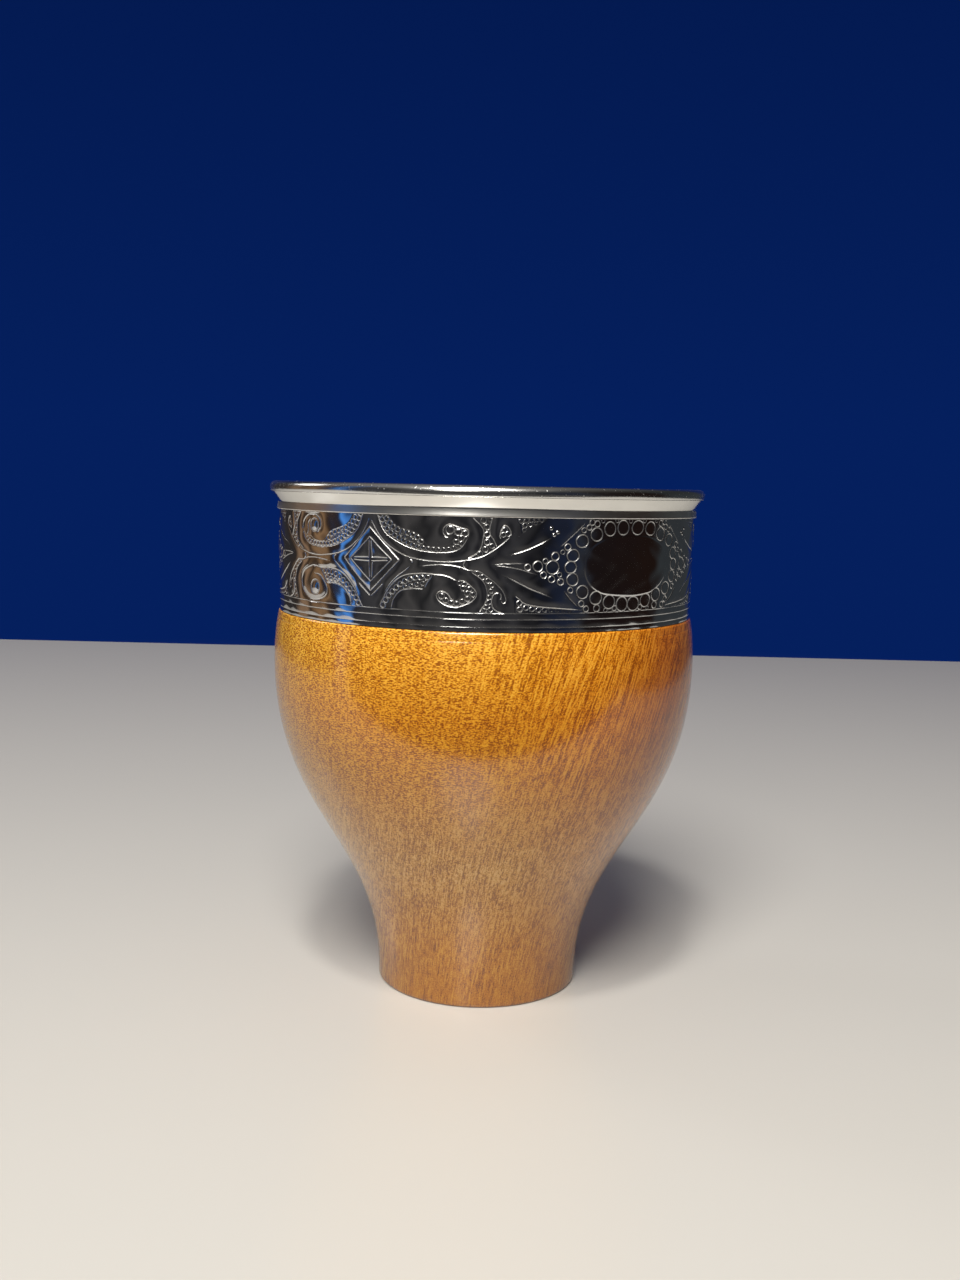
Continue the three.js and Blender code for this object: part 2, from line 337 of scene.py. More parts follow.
INNER_DIAMOND, OUTER_DIAMOND = (4.15, 3.75), (5.5, 5.35)    # half widths and half heights
DIAMOND_MID, BEVEL_RISE = 0.15, 0.075
ARM, ARM_WALL, CORNER_DEPTH = 0.34, 0.14, 0.12    # half width and wall of the cross, depth beside it


def chase_diamond(d):
    """Two nested lozenges with a bevel between them, a line below, and a level cross between sunk corners."""
    off = np.abs(UP - DIAMOND_MID)
    outer, inner = (np.abs(ACROSS) / w + off / t for w, t in (OUTER_DIAMOND, INNER_DIAMOND))
    d.raised += BEVEL_RISE * np.clip((1 - outer) / np.maximum(inner - outer, 1e-6), 0, 1)
    cross = np.maximum(smooth((ARM - ACROSS) / ARM_WALL), smooth((ARM - off) / ARM_WALL))
    d.raised -= CORNER_DEPTH * np.clip(1 - inner, 0, 1) * (1 - cross)
    for wide, tall in (INNER_DIAMOND, OUTER_DIAMOND):
        for way in (tall, -tall):
            d.line([(0.0, DIAMOND_MID + way), (wide, DIAMOND_MID)], 0.12, 1e-3, False)
    d.line([(0.0, -6.1), (2.4, -3.9)], 0.12, 0.1, False)
    for way in (1, -1):
        d.line([(ARM, DIAMOND_MID + way * ARM), (3.5, DIAMOND_MID + way * 0.2)], 0.12, 0.1, False)
        d.line([(ARM, DIAMOND_MID + way * ARM), (0.2, DIAMOND_MID + way * 3.2)], 0.12, 0.1, False)


def chase_ribbons(d):
    """Two lines that leave the diamond, run together along the middle and part round the horns."""
    d.line([(0.1, 6.9), (1.2, 5.0), (2.6, 3.3), (4.6, 1.8), (7.1, 0.8), (11.1, 0.35), (14.1, 0.3),
            (16.6, 0.6), (19.1, 1.2), (20.6, 1.9), (22.4, 3.2), (24.2, 4.8)])
    d.line([(9.0, -0.6), (11.1, -0.3), (13.1, -0.2), (15.6, -0.4), (17.4, -0.9), (19.2, -1.1), (20.9, -2.2),
            (22.3, -3.4), (23.3, -4.6), (23.7, -5.8), (23.3, -6.25), (22.75, -5.85)])
    d.line([(2.4, -5.9), (3.4, -4.2), (4.9, -2.7), (6.6, -1.4), (7.7, -0.4)], 0.11, 0.25)
    d.line([(7.3, 0.6), (7.8, 0.2), (7.7, -0.3)], 0.11, 0.25)
    d.line([(16.9, 0.6), (16.45, -0.2), (17.1, -0.9)], 0.13, 0.25)


def chase_upper_scroll(d, boss):
    """A beaded band that sweeps down from the top edge and curls up into a club-shaped head."""
    keel = [(1.4, 7.7), (2.6, 5.1), (4.6, 3.5), (7.6, 2.2), (11.1, 1.8), (14.1, 1.9), (16.1, 2.6),
            (17.3, 4.4)]
    head = [(17.3, 4.4), (17.2, 5.5), (16.1, 5.9), (14.3, 6.45), (13.3, 6.0), (13.0, 5.1), (13.6, 4.3)]
    d.line(keel)
    d.row(d.beads, 19, 0.44, 0.38, [(1.9, 7.5), (3.05, 5.5), (5.0, 3.95), (7.8, 2.7), (11.1, 2.25),
                                    (14.0, 2.35), (15.6, 2.85)])
    d.row(d.beads, 9, 0.42, 0.42, [(3.1, 6.9), (4.6, 5.4), (7.0, 4.6), (8.3, 4.2), (9.2, 3.4)])
    d.row(d.beads, 4, 0.38, 0.32, [(5.8, 4.5), (7.2, 3.7), (8.6, 3.1)])
    inner = [(14.3, 3.4), (13.1, 2.85), (11.1, 2.7), (10.1, 3.1), (9.3, 4.0), (8.1, 4.8), (4.8, 5.9),
             (3.3, 7.7)]
    if boss:
        d.ground(keel, [(15.6, 3.3)] + inner)
        d.line([(17.3, 4.4), (16.9, 5.9), (15.2, 7.0), (13.2, 7.1), (11.6, 6.3), (11.5, 5.0),
                (12.4, 4.1)], 0.15)
        d.line([(15.9, 3.4), (15.3, 4.3), (15.2, 5.6), (14.2, 6.5)], 0.12, 0.2)
        d.rings((13.2, 5.3, 1.15))
        d.beads((13.2, 5.3, 1.0), rise=BOSS_RISE, power=2)
        return
    d.ground(keel + head[1:] + [(14.9, 4.1)], inner)
    d.line(head, 0.11)
    d.beads((14.2, 5.6, 0.7), (15.6, 5.25, 0.57), (16.7, 5.0, 0.5), (16.1, 4.2, 0.5), (15.2, 3.6, 0.44),
            (16.1, 3.3, 0.44), (13.8, 4.7, 0.34))


def chase_lower_scroll(d, boss):
    """A beaded band that rises from the lower edge, and a hook that curls under it."""
    back = [(1.5, -7.9), (3.6, -4.4), (6.1, -2.4), (9.1, -1.8), (11.4, -1.85)]
    belly = [(10.4, -3.5), (9.9, -4.4), (8.1, -4.35), (5.8, -4.8), (4.4, -6.2), (3.9, -7.9)]
    d.ground(back, belly)
    d.line([(11.4, -1.9), (10.4, -3.3), (9.9, -4.4)], 0.11, 0.25)
    d.line(belly[1:], 0.11)
    d.row(d.beads, 11, 0.47, 0.44, [(2.4, -7.4), (3.2, -6.1), (4.5, -4.75), (6.2, -3.4), (8.2, -2.55),
                                    (10.4, -2.4)])
    d.row(d.beads, 4, 0.4, 0.4, [(6.6, -4.2), (8.2, -3.75), (9.7, -3.5)])
    if boss:
        d.line(back + [(13.9, -1.6), (16.9, -2.8), (17.8, -4.5), (17.0, -6.2), (15.0, -7.4), (12.6, -7.5),
                       (10.4, -6.7), (9.9, -5.2), (11.6, -3.3), (13.4, -2.9)], 0.13, 0.08)
        d.rings((13.2, -5.3, 1.3))
        d.beads((13.2, -5.3, 1.15), rise=BOSS_RISE, power=2)
        return
    d.line(back + [(13.5, -2.0), (15.5, -2.75)], 0.11)
    hook = [(15.4, -2.75), (16.6, -2.75), (18.1, -3.8), (18.75, -4.9), (17.9, -6.0), (16.1, -6.8),
            (15.1, -7.0), (13.6, -6.75), (12.4, -6.1), (12.0, -5.4), (12.35, -4.8), (13.0, -4.6),
            (13.8, -4.9), (14.4, -5.6)]
    d.ground(hook, [(15.2, -6.0), (16.0, -5.4), (16.1, -4.3), (15.4, -2.9)])
    d.line(hook + [(15.3, -6.3)], 0.11)
    d.row(d.beads, 4, 0.4, 0.46, [(16.7, -3.1), (17.4, -3.85), (18.1, -4.8), (17.2, -5.6)])
    d.row(d.beads, 5, 0.44, 0.5, [(16.3, -6.05), (15.3, -6.5), (14.4, -6.35), (13.5, -6.0), (12.85, -5.35)])
    d.beads((15.8, -3.05, 0.36), (16.4, -3.85, 0.4), (17.1, -4.7, 0.44))


def chase_horns(d):
    """Beaded horns between the scrolls and the rays, with a beaded drop above and a plain hook below."""
    outer = [(17.7, 7.7), (19.1, 6.4), (19.7, 5.4), (19.6, 3.8), (19.3, 2.6), (18.6, 1.7), (17.2, 0.95)]
    inner = [(21.9, 3.0), (21.4, 4.0), (20.8, 4.9), (20.7, 6.1), (21.1, 7.7)]
    d.ground(outer, [(19.1, 1.25), (20.6, 1.95)] + inner)
    d.line(outer, 0.12)
    d.line(inner, 0.12)
    d.row(d.beads, 6, 0.45, 0.45, [(19.6, 7.1), (20.2, 6.0), (20.25, 4.8), (20.3, 3.7), (20.1, 2.6),
                                   (19.2, 1.75)])
    d.beads((21.1, 3.1, 0.4), (20.6, 7.2, 0.34))
    drop = [(24.1, 4.8), (24.1, 5.4), (23.7, 6.1), (23.0, 6.4), (22.5, 5.6), (22.3, 4.7), (22.5, 4.3)]
    d.ground(drop + [(23.2, 4.3)])
    d.line(drop, 0.12)
    d.beads((23.1, 5.75, 0.4), (22.85, 4.95, 0.4), (23.6, 5.1, 0.4))

    outer = [(17.6, -1.05), (19.6, -2.4), (20.4, -3.9), (20.5, -5.4), (20.0, -6.7), (19.2, -7.75)]
    d.ground(outer, [(21.8, -7.75), (21.4, -6.9), (21.3, -5.7), (21.7, -4.7), (21.9, -3.8), (21.3, -2.75),
                     (20.3, -1.85), (19.2, -1.2)])
    d.line(outer, 0.11)
    d.line([(22.6, -4.55), (21.8, -4.75), (21.35, -5.6), (21.4, -6.8), (22.1, -7.55),
            (23.4, -7.95)], 0.13, 0.1)
    d.line([(22.75, -5.85), (22.9, -5.1), (22.6, -4.55)], 0.11, 0.25)
    d.row(d.beads, 6, 0.42, 0.4, [(18.9, -1.35), (20.4, -2.4), (21.3, -3.4), (21.15, -4.4), (20.9, -5.3)])
    d.beads((20.8, -6.1, 0.38), (20.4, -6.9, 0.4), (21.1, -7.3, 0.38), (20.1, -7.5, 0.34))


def chase_rays(d):
    """Tapered leaf rays beside the wedge, beaded corners at both edges and three dots."""
    d.line([(23.5, 1.5), (26.3, 2.25), (28.6, 3.15), (30.9, 4.3)], 0.12, 0.25)
    d.line([(21.3, 0.05), (23.5, 0.2), (26.6, 0.15)], 0.10, 0.15)
    d.line([(21.3, 0.0), (23.5, -0.3), (26.0, -0.85), (28.6, -1.6)], 0.10, 0.15)
    d.line([(22.9, -1.7), (25.4, -2.85), (27.6, -3.9), (29.3, -4.6), (31.3, -5.5)], 0.13, 0.25)
    d.ground([(25.2, 7.7), (25.7, 6.6), (26.0, 5.2)], [(26.6, 5.7), (27.4, 6.2), (28.9, 6.6), (30.6, 7.7)])
    d.row(d.beads, 5, 0.4, 0.34, [(25.8, 7.2), (29.2, 7.25)])
    d.row(d.beads, 3, 0.42, 0.3, [(26.4, 6.45), (28.2, 6.75)])
    d.beads((26.3, 5.7, 0.32))
    verge = [(25.25, -5.1), (25.9, -5.6), (26.9, -6.35), (28.6, -6.8), (31.2, -7.15), (36.3, -7.4)]
    d.ground([(25.2, -7.8), (25.25, -5.1)], verge[1:] + [(36.3, -7.8)])
    d.line(verge, 0.12)
    d.row(d.beads, 5, 0.46, 0.4, [(26.0, -7.2), (26.9, -6.95), (28.0, -7.2), (29.0, -7.35), (30.1, -7.4)])
    d.row(d.beads, 4, 0.34, 0.28, [(31.1, -7.5), (34.5, -7.6)])
    d.beads((25.9, -6.15, 0.44))
    d.beads((30.9, 5.9, 0.30), (31.4, 4.9, 0.32), (32.0, 5.3, 0.30), rise=DOT_RISE)


def chase_medallion(d):
    """A wedge of rings, two arcs of large rings, small ones in the corners and a raised plate."""
    d.rings((27.0, -0.4, 0.5), (28.7, -0.2, 0.82), (31.25, -0.35, 1.1), (30.0, 0.65, 0.42),
            (31.7, 1.45, 0.66), (29.7, -1.6, 0.52), (31.1, -2.3, 0.55), (32.7, -2.8, 0.55),
            (32.5, -1.6, 0.38), (33.0, 2.15, 0.36), (33.8, 3.0, 0.52), (34.5, -4.2, 0.46),
            (34.45, -0.4, 1.0))
    d.row(d.rings, 5, 1.02, 1.2, [(34.8, 1.55), (35.95, 3.7), (38.5, 4.85), (41.25, 5.9), (44.45, 6.25)])
    d.row(d.rings, 5, 1.02, 1.2, [(34.85, -2.45), (36.5, -4.3), (38.65, -5.2), (41.7, -6.15), (44.75, -6.6)])
    d.row(d.rings, 4, 0.42, 0.52, [(36.5, 5.75), (37.4, 6.2), (37.95, 7.05), (38.95, 6.8)])
    d.row(d.rings, 3, 0.34, 0.34, [(40.1, 7.3), (46.0, 7.4)])
    d.rings((36.6, -6.35, 0.5), (37.5, -7.25, 0.5), (39.6, -7.2, 0.6), (41.4, -7.6, 0.34), (43.2, -7.3, 0.45))
    d.line([(32.4, 2.8), (34.1, 4.4), (37.3, 7.5)], 0.08, 0.2)
    d.line([(33.4, -4.4), (34.6, -5.7), (36.1, -7.0)], 0.11, 0.2)
    d.plate([(47.0, 5.0), (43.0, 4.75), (40.5, 4.15), (38.5, 3.1), (37.3, 1.65), (36.95, -0.2), (37.3, -2.05),
             (38.4, -3.5), (40.5, -4.65), (43.0, -5.05), (47.0, -5.25)])


def chased(boss):
    """The whole half repeat, with a boss or with beads in its scroll heads."""
    d = Drawing()
    for part in (chase_diamond, chase_ribbons, chase_horns, chase_rays, chase_medallion):
        part(d)
    chase_upper_scroll(d, boss)
    chase_lower_scroll(d, boss)
    return d


HALVES = chased(True), chased(False)     # left and right of a diamond
RELIEF = np.stack([half.relief() for half in HALVES])
WORKED = np.stack([half.worked() for half in HALVES])

# The strip round the band. Its ends meet behind, opposite the front diamond.
STRIP_RADIUS = 39.3
DIAMOND_AT = -20.1               # along the strip from the front, to the right
STRIP_COLUMNS, PANELS, ROW_STEP = 3300, 10, 0.075
FIELD_FOOT, FIELD_TOP = 75.3, BAND_LAP - 0.05    # the ornament lies between these heights
FIELD_FADE_IN, FIELD_FADE_OUT = 0.2, 0.15
MOULDING = ((72.35, 73.1, 0.022), (73.1, 74.4, 0.030), (74.4, 75.45, 0.012))    # from, to, swell
MOULDING_LINES = ((73.1, 0.4), (74.4, 0.7), (75.45, 0.7))    # height, share of a full line's depth
HAND_SHIFT = ((0.10, 7, 0.6, 0.0), (0.07, 17, 0.0, 1 / 3.1))    # waves: reach, number, phase, phase per mm up
HAND_LIFT = ((0.06, 9, 2.0, 0.0), (0.05, 23, 0.0, -1 / 2.3))
SHEET_WAVE = 0.026               # unevenness of the beaten sheet
SHEET_ALONG, SHEET_UP = 0.9, 0.8         # mm for each radian of its waves
SWAY, SWAY_ALONG, SWAY_UP = 1.3, 2.3, 1.7    # and of the longer ones that bend them
SEAM_WIDTH, SEAM_DEPTH = 0.14, 0.1
PROBE = 0.04                     # half the span over which a slope of the relief is taken
LAP_STEP = 0.01                  # rise of the ledge under the collar

BAND_TAPER = (BAND_RADIUS - BAND_FOOT_RADIUS) / (BAND_NECK - BAND_FOOT)
FRONT_LEVELS = np.append(np.arange(BAND_FOOT, BAND_LAP, ROW_STEP), BAND_LAP)
BAND_BACK = np.array([(LAP_RADIUS, BAND_LAP + LAP_STEP), (LAP_RADIUS, BAND_TOP),
                      (LAP_RADIUS - BAND_WALL, BAND_TOP), (LAP_RADIUS - BAND_WALL, BAND_LAP),
                      (BAND_RADIUS - BAND_WALL, BAND_NECK), (BAND_FOOT_RADIUS - BAND_WALL, BAND_FOOT)])
UPWARD = np.array([0.0, 0.0, 1.0])


def folded(along):
    """Place in the half repeat for a place on the strip: distances from the diamond run forth and back."""
    x = np.abs(along - DIAMOND_AT)
    there = HALF_REPEAT * (1 + SECOND_STRETCH)
    back = HALF_REPEAT - (x - HALF_REPEAT) / SECOND_STRETCH
    return np.where(x <= HALF_REPEAT, x, np.where(x <= there, back, x - there))


def drawn(grids, along, height):
    """Value of a pair of grids at places on the strip, blended from the four grid points round each."""
    _, rows, columns = grids.shape
    i = np.clip((folded(along) - CORNER[0]) / GRID, 0, columns - 1.001)
    j = np.clip((height - MID_HEIGHT - CORNER[1]) / GRID, 0, rows - 1.001)
    i0, j0 = i.astype(int), j.astype(int)
    di, dj = i - i0, j - j0
    half = (along > DIAMOND_AT).astype(int)
    low = grids[half, j0, i0] * (1 - di) + grids[half, j0, i0 + 1] * di
    high = grids[half, j0 + 1, i0] * (1 - di) + grids[half, j0 + 1, i0 + 1] * di
    return low * (1 - dj) + high * dj


def waves(rows, along, height):
    """Sum of sine waves: reach times the sine of number times turn, plus phase, plus tilt times height."""
    turn = along / STRIP_RADIUS
    return sum(reach * np.sin(number * turn + phase + tilt * height) for reach, number, phase, tilt in rows)


def by_hand(along, height):
    """Slight wander of the hand-cut drawing, sideways and up."""
    return along + waves(HAND_SHIFT, along, height), height + waves(HAND_LIFT, along, height)


def in_field(height):
    """1 between the mouldings and the collar, where the ornament is, and 0 elsewhere."""
    return smooth((height - FIELD_FOOT) / FIELD_FADE_IN) * smooth((FIELD_TOP - height) / FIELD_FADE_OUT)


def band_relief(along, height):
    """Height of the sheet above the plain sleeve: ornament, unevenness, mouldings, their lines, the seam."""
    lift = in_field(height) * drawn(RELIEF, *by_hand(along, height))
    across = np.sin(along / SHEET_ALONG + SWAY * np.sin(height / SWAY_UP))
    upward = np.sin(height / SHEET_UP + np.sin(along / SWAY_ALONG))
    lift += SHEET_WAVE * across * upward
    for low, high, swell in MOULDING:
        lift += swell * np.sin(np.pi * np.clip((height - low) / (high - low), 0, 1))
    for level, share in MOULDING_LINES:
        lift -= share * LINE_DEPTH * trough(np.abs(height - level), LINE)
    from_seam = math.pi * STRIP_RADIUS - np.abs(along - DIAMOND_AT)
    return lift - SEAM_DEPTH * np.clip(1 - np.abs(from_seam) / SEAM_WIDTH, 0, 1)


def dullness(along, height):
    """How far the tools have left the metal dull: what is worked in the field, and the mouldings' lines."""
    dull = in_field(height) * drawn(WORKED, *by_hand(along, height))
    for level, share in MOULDING_LINES:
        dull = np.maximum(dull, share * trough(np.abs(height - level), LINE))
    return dull


def front_normals(along, height, out, side):
    """Normals of the front from the relief's own slopes, so that neighbouring panels meet without a line."""
    slope_along = (band_relief(along + PROBE, height) - band_relief(along - PROBE, height)) / (2 * PROBE)
    slope_up = (band_relief(along, height + PROBE) - band_relief(along, height - PROBE)) / (2 * PROBE)
    normal = out - slope_along[..., None] * side - (slope_up + BAND_TAPER)[..., None] * UPWARD
    return normal / np.linalg.norm(normal, axis=2, keepdims=True)


def sleeve_radius(height):
    """Plain outside of the band: a slight taper from foot to collar."""
    return BAND_FOOT_RADIUS + BAND_TAPER * (height - BAND_FOOT)


def chased_panel(name, turn):
    """A stretch of the band: rows go up its chased front and down its back, and both ends are closed."""
    along, height = np.meshgrid(turn * STRIP_RADIUS, FRONT_LEVELS, indexing="ij")
    back = np.broadcast_to(BAND_BACK, (len(turn), *BAND_BACK.shape))
    radius = np.hstack([sleeve_radius(height) + band_relief(along, height), back[..., 0]])
    level = np.hstack([height, back[..., 1]])
    flat = np.zeros(len(turn))
    out = np.column_stack([np.sin(turn), -np.cos(turn), flat])[:, None]
    side = np.column_stack([np.cos(turn), np.sin(turn), flat])[:, None]
    corners = radius[..., None] * out + level[..., None] * UPWARD

    rows, front_rows = level.shape[1], len(FRONT_LEVELS)
    column = np.arange(len(turn) - 1)[:, None] * rows
    up = np.arange(rows)
    above = (up + 1) % rows
    quads = np.stack([column + up, column + rows + up, column + rows + above, column + above], axis=-1)
    front = quads[:, :front_rows - 1].reshape(-1, 4)
    rest = quads[:, front_rows - 1:].reshape(-1, 4)
    last = (len(turn) - 1) * rows
    faces = front.tolist() + rest.tolist() + [up.tolist(), (last + up[::-1]).tolist()]

    mesh = bpy.data.meshes.new(name)
    mesh.from_pydata((corners.reshape(-1, 3) * MM).tolist(), [], faces)
    smooth_face = np.zeros(len(faces), bool)
    smooth_face[:len(front)] = True
    mesh.polygons.foreach_set("use_smooth", smooth_face)
    dull = np.zeros(level.shape, np.float32)
    dull[:, :front_rows] = dullness(along, height)
    mesh.attributes.new("worked", "FLOAT", "POINT").data.foreach_set("value", dull.ravel())
    normals = np.zeros(corners.shape)
    normals[:, :front_rows] = front_normals(along, height, out, side)
    loops = np.zeros((len(mesh.loops), 3))
    loops[:front.size] = normals.reshape(-1, 3)[front.ravel()]
    mesh.normals_split_custom_set(loops.tolist())
    return mesh


def band_panels(material):
    """The whole chased sheet, in equal panels round the neck from the seam on."""
    seam = DIAMOND_AT / STRIP_RADIUS - math.pi
    per_panel = STRIP_COLUMNS // PANELS
    for panel in range(PANELS):
        step = np.arange(panel * per_panel, (panel + 1) * per_panel + 1)
        mesh = chased_panel(f"chased_panel_{panel + 1}", seam + 2 * math.pi * step / STRIP_COLUMNS)
        shown(mesh, "chased_band", material)


class Nodes:
    """Builds the node tree of a material or world: an input that is given a socket is joined to it."""

    def __init__(self, owner, surface="Principled BSDF"):
        owner.use_nodes = True
        self.owner, self.tree = owner, owner.node_tree
        self.surface = self.tree.nodes[surface]

    @classmethod
    def material(cls, name):
        return cls(bpy.data.materials.new(name))

    def add(self, kind, inputs=(), **settings):
        """A new node with its settings and inputs."""
        node = self.tree.nodes.new(kind)
        for key, value in settings.items():
            setattr(node, key, value)
        self.set(node, inputs)
        return node

    def set(self, node, inputs):
        """Gives inputs their values, or joins them to sockets."""
        for key, value in dict(inputs).items():
            if isinstance(value, bpy.types.NodeSocket):
                self.tree.links.new(value, node.inputs[key])
            else:
                node.inputs[key].default_value = value

    def math(self, operation, *values):
        return self.add("ShaderNodeMath", enumerate(values), operation=operation).outputs[0]

    def scaled(self, vector, cell):
        """A vector in cells of the given size in mm along each axis."""
        size = tuple(1.0 / (c * MM) for c in cell)
        return self.add("ShaderNodeVectorMath", {0: vector, 1: size}, operation="MULTIPLY").outputs[0]

    def noise(self, vector, cell, detail=2.0):
        """Noise from 0 to 1 in cells of the given size in mm."""
        return self.add("ShaderNodeTexNoise", {"Vector": self.scaled(vector, cell), "Scale": 1.0,
                                               "Detail": detail}).outputs[0]

    def span(self, value, low, high, start=0.0, end=1.0):
        """A value moved from one range to another and held at its ends."""
        return self.add("ShaderNodeMapRange", {"Value": value, "From Min": low, "From Max": high,
                                               "To Min": start, "To Max": end}).outputs[0]

    def mix(self, factor, a, b, blend="MIX"):
        node = self.add("ShaderNodeMix", data_type="RGBA", blend_type=blend)
        self.set(node, {0: factor, 6: a, 7: b})
        return node.outputs[2]

    def ramp(self, value, *stops):
        """Colour by value, between stops of (place, colour)."""
        node = self.add("ShaderNodeValToRGB", {0: value})
        elements = node.color_ramp.elements
        for place, colour in stops[1:-1]:
            elements.new(place).color = (*colour, 1.0)
        for element, (place, colour) in ((elements[0], stops[0]), (elements[-1], stops[-1])):
            element.position, element.color = place, (*colour, 1.0)
        return node.outputs[0]

    def place(self):
        """Position in the shared frame, in metres."""
        return self.add("ShaderNodeTexCoord").outputs["Object"]


# Wood grain. Fibres shift sideways and back as they rise: nearly upright on the left, leaning on the right.
UPRIGHT_LEAN, RIGHT_LEAN, BACK_LEAN = 0.06, 0.30, 0.20    # shift for each mm of rise
LEAN_LEFT, LEAN_RIGHT = -15.0, 20.0      # the lean grows between these places across
LEAN_HEIGHT = 35.0                       # where nothing is shifted
TIERS_LEFT, TIERS_RIGHT = -6.0, 14.0     # tiers of flecks fade out to the right between these
TIERS_LOW, TIERS_HIGH = 30.0, 50.0       # and come in between these heights
# Layers of the grain: cell across, back and up in mm, detail, weight in the threads, weight in the tiers
THREADS = (((5.0, 3.5, 60.0), 3.0, 0.32, 0.2),
           ((0.60, 14.0, 60.0), 1.0, 0.2, 0.1),
           ((0.28, 4.0, 4.5), 0.0, 0.75, 0.2),
           ((0.25, 0.6, 2.5), 0.0, 0.8, 0.3),
           ((0.23, 0.23, 0.25), 0.0, 0.9, 0.8))
FLECKS = ((0.52, 0.52, 0.16), 0.0, 0.1, 1.5)
CALM_LOW, CALM_HIGH = 4.0, 26.0          # the grain calms down towards the foot
TONE_REACH = 0.31
WOOD_TONES = ((0.0, (0.34, 0.100, 0.002)), (0.5, (0.77, 0.308, 0.020)), (1.0, (1.0, 0.53, 0.12)))
SHADE_UP_TOP, SIDE_SHADE_REACH = 70.0, 40.0         # painted shade and tone run from the foot to this height, and the painted side shade this far both ways
# Wood colour by height: painted shade, darker towards the foot and on the lower belly where less light falls,
# mixed with some change of tone
TONE_AND_SHADE_UP = ((0.0, (0.40, 0.335, 0.10)), (0.17, (0.53, 0.48, 0.25)), (0.42, (0.67, 0.73, 1.0)),
           (0.68, (0.655, 0.58, 0.15)), (0.82, (0.75, 0.635, 0.15)), (1.0, (1.0, 1.0, 0.5)))
# Painted shade across the cup: darker towards both sides, most on the right, where less light falls
PAINTED_SIDE_SHADE = ((0.05, (0.88, 0.95, 1.0)), (0.28, (1.0, 1.0, 1.0)), (0.56, (1.0, 1.0, 1.0)),
               (0.75, (0.98, 0.86, 0.76)), (0.90, (0.68, 0.43, 0.30)))


def lacquered_wood():
    """Hardwood under a clear coat: fine threads, tiers of short flecks on the upper left, and painted shade
    that darkens it towards the foot, under the belly and on both sides.
    """
    n = Nodes.material("lacquered_wood")
    place = n.place()
    x, y, z = n.add("ShaderNodeSeparateXYZ", {0: place}).outputs
    rise = n.math("SUBTRACT", z, LEAN_HEIGHT * MM)
    lean = n.span(x, LEAN_LEFT * MM, LEAN_RIGHT * MM, -UPRIGHT_LEAN, -RIGHT_LEAN)
    across = n.math("MULTIPLY_ADD", lean, rise, x)
    back = n.math("MULTIPLY_ADD", rise, -BACK_LEAN, y)
    grain = n.add("ShaderNodeCombineXYZ", {0: across, 1: back, 2: z}).outputs[0]
    leftward = n.span(x, TIERS_LEFT * MM, TIERS_RIGHT * MM, 1.0, 0.0)
    upward = n.span(z, TIERS_LOW * MM, TIERS_HIGH * MM)
    tiered = n.math("MULTIPLY", leftward, upward)
    tone = 0.0
    for vector, (cell, detail, in_threads, in_tiers) in [(grain, row) for row in THREADS] + [(place, FLECKS)]:
        weight = n.span(tiered, 0.0, 1.0, in_threads, in_tiers)
        value = n.math("SUBTRACT", n.noise(vector, cell, detail), 0.5)
        tone = n.math("MULTIPLY_ADD", value, weight, tone)
    tone = n.math("MULTIPLY", tone, n.span(z, CALM_LOW * MM, CALM_HIGH * MM, 0.75, 1.1))
    colour = n.ramp(n.span(tone, -TONE_REACH, TONE_REACH), *WOOD_TONES)
    # painted shade by height, darker towards the foot, with some change of tone
    tone_and_shade_up = n.ramp(n.span(z, 0.0, SHADE_UP_TOP * MM), *TONE_AND_SHADE_UP)
    # painted shade across, darker towards the sides
    painted_side_shade = n.ramp(n.span(x, -SIDE_SHADE_REACH * MM, SIDE_SHADE_REACH * MM), *PAINTED_SIDE_SHADE)
    colour = n.mix(1.0, n.mix(1.0, colour, tone_and_shade_up, "MULTIPLY"), painted_side_shade, "MULTIPLY")
    pores = n.add("ShaderNodeBump", {"Height": tone, "Strength": 0.3, "Distance": 0.01 * MM}).outputs[0]
    n.set(n.surface, {"Base Color": colour, "Roughness": 0.5, "Specular IOR Level": 0.2, "Coat Weight": 1.0,
                      "Coat Roughness": 0.17, "Coat IOR": 1.72, "Coat Normal": pores})
    return n.owner


def scratched(n, place, depth):
    """Very fine handling marks: noise in long thin cells, laid two ways, as a faint bump."""
    one = n.noise(place, (0.25, 6.0, 6.0), 2.0)
    two = n.noise(place, (6.0, 6.0, 0.3), 2.0)
    height = n.math("ADD", one, two)
    return n.add("ShaderNodeBump", {"Height": height, "Strength": depth, "Distance": 0.05 * MM}).outputs[0]


SATIN_FADE = 0.1                         # the collar's polish gives way to satin this near its skirt's top
LIP_POLISH, LINER_SATIN = 93.6, 92.4     # and the lip's polish between these heights
LINER_LINE_CELL = (50 / 3, 50 / 3, 0.22)


def polished_metal():
    """Bright metal with faint smears and fine handling marks, satin on the skirt below the cove."""
    n = Nodes.material("polished_metal")
    place = n.place()
    haze = n.noise(place, (7.0, 7.0, 3.0), 3.0)
    z = n.add("ShaderNodeSeparateXYZ", {0: place}).outputs[2]
    satin = n.span(z, (SKIRT_TOP + SATIN_FADE) * MM, (SKIRT_TOP - SATIN_FADE) * MM, 0.0, 0.24)
    shine = n.mix(n.span(haze, 0.35, 0.7), (0.84, 0.83, 0.80, 1.0), (0.76, 0.75, 0.72, 1.0))
    roughness = n.math("ADD", satin, n.span(haze, 0.3, 0.75, 0.05, 0.10))
    n.set(n.surface, {"Base Color": shine, "Metallic": 1.0, "Roughness": roughness,
                      "Normal": scratched(n, place, 0.05)})
    return n.owner


